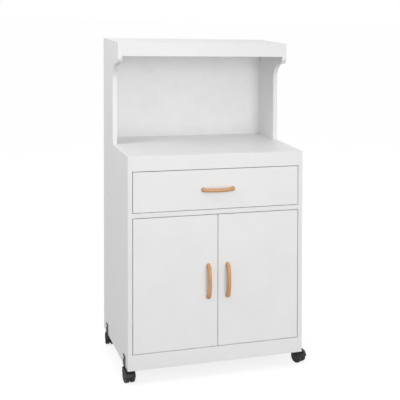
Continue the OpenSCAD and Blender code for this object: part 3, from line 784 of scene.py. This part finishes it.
def screwMesh(headRadius, headHeight, shaftRadius, length, countersunk, values=screwShape):
    # points away from +z: the top of the head is at z = 0
    bpy.ops.mesh.primitive_cylinder_add(
        vertices=values["around"],
        radius=headRadius,
        depth=headHeight,
        location=(0, 0, -headHeight / 2),
    )
    head = bpy.context.object
    bpy.ops.object.transform_apply(location=True, rotation=True, scale=True)
    bpy.ops.object.mode_set(mode="EDIT")
    mesh = bmesh.from_edit_mesh(head.data)
    if countersunk:
        for corner in mesh.verts:
            if corner.co.z < -headHeight / 2:
                corner.co.xy *= shaftRadius / headRadius
    else:
        bpy.ops.mesh.select_mode(type="EDGE")
        bpy.ops.mesh.select_all(action="DESELECT")
        for edge in mesh.edges:
            edge.select = all(corner.co.z > -headHeight / 4 for corner in edge.verts)
        bmesh.update_edit_mesh(head.data)
        bpy.ops.mesh.bevel(offset=headHeight * values["crown"], segments=3, affect="EDGES")
    bpy.ops.object.mode_set(mode="OBJECT")
    for turn in (0, 90):
        bpy.ops.mesh.primitive_cube_add(
            size=1, location=(0, 0, 0), rotation=(0, 0, math.radians(turn))
        )
        slot = bpy.context.object
        slot.scale = (
            2 * headRadius * values["crossLong"],
            headRadius * values["crossWide"],
            2 * headHeight * values["crossDeep"],
        )
        bpy.ops.object.transform_apply(location=True, rotation=True, scale=True)
        workOn(head)
        cut = head.modifiers.new("cross", "BOOLEAN")
        cut.operation, cut.solver, cut.object = "DIFFERENCE", "EXACT", slot
        bpy.ops.object.modifier_apply(modifier=cut.name)
        bpy.data.objects.remove(slot)
    # the shaft is ringed like a thread
    rings = max(6, int((length - headHeight) / (shaftRadius * values["pitch"])))
    step = (length - headHeight) / rings
    bpy.ops.mesh.primitive_circle_add(
        vertices=values["around"] // 2,
        radius=shaftRadius * values["crest"],
        location=(0, 0, -headHeight * 0.98),
        fill_type="NGON",
    )
    shaft = bpy.context.object
    bpy.ops.object.transform_apply(location=True, rotation=True, scale=True)
    bpy.ops.object.mode_set(mode="EDIT")
    bpy.ops.mesh.select_all(action="SELECT")
    for ring in range(rings):
        grow = 1 / values["crest"]
        if ring == rings - 1:
            grow = 0.3
        for scale in (grow, 1 / grow if grow > 1 else 1):
            bpy.ops.mesh.extrude_region_move(TRANSFORM_OT_translate={"value": (0, 0, -step / 2)})
            bpy.ops.transform.resize(value=(scale, scale, 1), center_override=(0, 0, 0))
    bpy.ops.mesh.select_all(action="SELECT")
    bpy.ops.mesh.normals_make_consistent(inside=False)
    bpy.ops.object.mode_set(mode="OBJECT")
    workOn(head)
    shaft.select_set(True)
    bpy.ops.object.join()
    mesh = head.data
    bpy.data.objects.remove(head)
    numberAlike(mesh)
    return mesh


def screwSet(nodeName, slotName, finish):
    made, parts = {}, []
    for index, places in enumerate(solidsOf(nodeName)):
        low, high = boxOf(places)
        size = high - low
        axis = max(range(3), key=lambda i: size[i])
        across = [i for i in range(3) if i != axis]
        middle = (low + high) / 2
        far = size[across[0]] / 2

        def spread(v):
            return math.hypot(*(v[i] - middle[i] for i in across))

        wide = [v[axis] for v in places if spread(v) > 0.95 * far]
        slim = min(
            max(spread(v) for v in places if abs(v[axis] - end) < 0.0001)
            for end in (low[axis], high[axis])
        )
        headUp = sum(wide) / len(wide) > middle[axis]
        depth = max(wide) - min(wide)
        sunk = depth < 0.0002
        if sunk:  # only one ring of the head is wide: the rest tapers to the shaft
            slimAt = [v[axis] for v in places if abs(spread(v) - slim) < 0.0001]
            top = high[axis] if headUp else low[axis]
            depth = min(abs(top - at) for at in slimAt)
        shape = tuple(round(value, 5) for value in (far, depth, slim, size[axis]))
        if shape not in made:
            made[shape] = screwMesh(*shape, sunk)
        outward = Vector([(1 if headUp else -1) if i == axis else 0 for i in range(3)])
        twist = Matrix.Rotation(math.radians(37 * index % 90), 4, "Z")
        top = middle.copy()
        top[axis] = high[axis] if headUp else low[axis]
        turn = outward.to_track_quat("Z", "Y").to_matrix().to_4x4()
        part = bpy.data.objects.new("screw", made[shape].copy())
        bpy.context.collection.objects.link(part)
        part.data.transform(Matrix.Translation(top) @ turn @ twist)
        parts.append(part)
    workOn(parts[0])
    for part in parts:
        part.select_set(True)
    if len(parts) > 1:
        bpy.ops.object.join()
    piece = parts[0]
    piece.name = piece.data.name = pieceName(nodeName)
    bpy.ops.object.shade_smooth_by_angle(angle=math.radians(35))
    settle(piece, nodeName, slotName, finish)


for nodeName in (
    "back_panel_screws",
    "drawer_fasteners",
    "door_handle_screws_left",
    "door_handle_screws_right",
    "caster_bracket_screws",
    "hinge_screws",
):
    screwSet(nodeName, "zinc_steel", "zincPlatedSteel")
print("screws cut")


# wheels of the casters

wheel = {
    "width": 0.0129,
    "bore": 0.00255,
    "dimple": 0.0004,  # how far the cap's middle lies in from the outer face
    "around": 56,
    # distance in from the outer face and radius, in mm, from the bore's inner end round to the cap
    "outline": [
        (12.9, 2.55), (12.9, 19.2), (12.2, 20), (9.2, 20), (8.9, 19.6), (8.4, 19.6), (8.1, 20),
        (5.6, 20), (5.3, 19.6), (4.8, 19.6), (4.5, 20), (2.4, 20), (1.1, 19.5), (0.35, 18.4),
        (0.15, 17.4), (0.5, 16.7), (1.9, 16.1), (2.1, 14), (1.7, 9), (1.3, 7.6), (0.6, 7),
        (0.35, 6.2), (0.2, 3), (0.15, 0),
    ],
    "ribs": 6,
    "ribSize": (0.0012, 0.0022, 0.0092),  # depth, width and length
    "ribAt": 0.0115,
    "ribIn": 0.0017,
    "ribRound": 0.0004,
}


def wheelMesh(values=wheel):
    # turns about x: the outer face is at x = 0 and the wheel goes to -x
    mesh = bpy.data.meshes.new("wheel")
    outline = [(-x / 1000, 0, r / 1000) for x, r in values["outline"]]
    outline.append((-values["dimple"], 0, 0))
    outline.append((-values["dimple"], 0, values["bore"]))
    mesh.from_pydata(outline, [(i, (i + 1) % len(outline)) for i in range(len(outline))], [])
    piece = bpy.data.objects.new("wheel", mesh)
    bpy.context.collection.objects.link(piece)
    workOn(piece)
    bpy.ops.object.mode_set(mode="EDIT")
    bpy.ops.mesh.select_mode(type="EDGE")
    bpy.ops.mesh.select_all(action="DESELECT")
    edit = bmesh.from_edit_mesh(mesh)
    for edge in list(edit.edges):  # no edge along the axle's middle line
        if all(abs(corner.co.z) < 0.000001 for corner in edge.verts):
            edit.edges.remove(edge)
    bmesh.update_edit_mesh(mesh)
    bpy.ops.mesh.select_all(action="SELECT")
    bpy.ops.mesh.spin(
        steps=values["around"], angle=math.radians(360), center=(0, 0, 0), axis=(1, 0, 0)
    )
    bpy.ops.mesh.select_all(action="SELECT")
    bpy.ops.mesh.remove_doubles(threshold=0.000005)
    bpy.ops.mesh.normals_make_consistent(inside=False)
    bpy.ops.object.mode_set(mode="OBJECT")
    for rib in range(values["ribs"]):
        bpy.ops.mesh.primitive_cube_add(size=1, location=(-values["ribIn"], 0, values["ribAt"]))
        spoke = bpy.context.object
        spoke.scale = values["ribSize"]
        bpy.ops.object.transform_apply(location=True, rotation=True, scale=True)
        bevel = spoke.modifiers.new("round", "BEVEL")
        bevel.width, bevel.segments = values["ribRound"], 2
        bpy.ops.object.modifier_apply(modifier=bevel.name)
        spoke.data.transform(Matrix.Rotation(2 * math.pi * rib / values["ribs"], 4, "X"))
        workOn(piece)
        spoke.select_set(True)
        bpy.ops.object.join()
    bpy.data.objects.remove(piece)
    numberAlike(mesh)
    return mesh


wheelModel = wheelMesh()


def wheelPair(nodeName, values=wheel):
    solids = solidsOf(nodeName)
    hearts = [(low + high) / 2 for low, high in (boxOf(places) for places in solids)]
    middle = (hearts[0] + hearts[1]) / 2
    parts = []
    for heart in hearts:
        outward = (heart - middle).normalized()
        turn = outward.to_track_quat("X", "Z").to_matrix().to_4x4()
        part = bpy.data.objects.new("wheel", wheelModel.copy())
        bpy.context.collection.objects.link(part)
        face = heart + outward * values["width"] / 2
        part.data.transform(Matrix.Translation(face) @ turn)
        parts.append(part)
    workOn(parts[0])
    parts[1].select_set(True)
    bpy.ops.object.join()
    piece = parts[0]
    piece.name = piece.data.name = pieceName(nodeName)
    bpy.ops.object.shade_smooth_by_angle(angle=math.radians(35))
    settle(piece, nodeName, "black_nylon_wheel", "mouldedBlackWheel")


casterPlaces = ("front_left", "front_right", "rear_left", "rear_right")
for place in casterPlaces:
    wheelPair("caster_wheels_" + place)
print("wheels turned")


# pressed, plated and moulded pieces that keep their CAD shape, with their edges rounded

softened = {
    # node: radius of the edges, smallest rounded run, slot, finish
    "runner_cabinet_left": (0.0003, 0.02, "white_enamelled_steel", "powderCoatedRunner"),
    "runner_cabinet_right": (0.0003, 0.02, "white_enamelled_steel", "powderCoatedRunner"),
    "runner_drawer_left": (0.0003, 0.02, "white_enamelled_steel", "powderCoatedRunner"),
    "runner_drawer_right": (0.0003, 0.02, "white_enamelled_steel", "powderCoatedRunner"),
    "hinge_arms_left": (0.0004, 0.009, "nickelled_steel", "nickelPlatedSteel"),
    "hinge_arms_right": (0.0004, 0.009, "nickelled_steel", "nickelPlatedSteel"),
    "hinge_cups_left": (0.0002, 0.02, "nickelled_steel", "nickelPlatedSteel"),
    "hinge_cups_right": (0.0002, 0.02, "nickelled_steel", "nickelPlatedSteel"),
    "caster_brackets": (0.0005, 0.02, "black_painted_steel", "blackLacqueredSteel"),
}
for place in casterPlaces:
    softened["caster_hood_" + place] = (0.0005, 0.012, "black_nylon_hood", "mouldedBlackHood")
for side in ("left", "right"):
    softened["brake_lever_front_" + side] = (0.0003, 0.004, "black_nylon_hood", "mouldedBlackHood")
for nodeName, (radius, shortest, slotName, finish) in softened.items():
    piece = copyOfNode(nodeName, pieceName(nodeName))
    softenEdges(piece, radius, shortest)
    settle(piece, nodeName, slotName, finish)
print("fittings softened")


# CAD nodes that are shown as they are

kept = {
    "shelf_pins": "zincPlatedSteel",
    "cam_fasteners": "zincPlatedSteel",
    "wood_dowels": "beechGrainLevel",
    "hinge_pins_left": "nickelPlatedSteel",
    "hinge_pins_right": "nickelPlatedSteel",
}
for side in ("left", "right"):
    kept["front_roller_" + side] = kept["rear_roller_" + side] = "mouldedNylonRoller"
for place in casterPlaces:
    kept["caster_pins_" + place] = "zincPlatedSteel"
for nodeName, finish in kept.items():
    node = nodes[nodeName]
    if not node.material_slots:
        node.data.materials.append(finishes[finish])
    for slot in node.material_slots:
        slot.material = finishes[finish]
print("kept nodes finished")
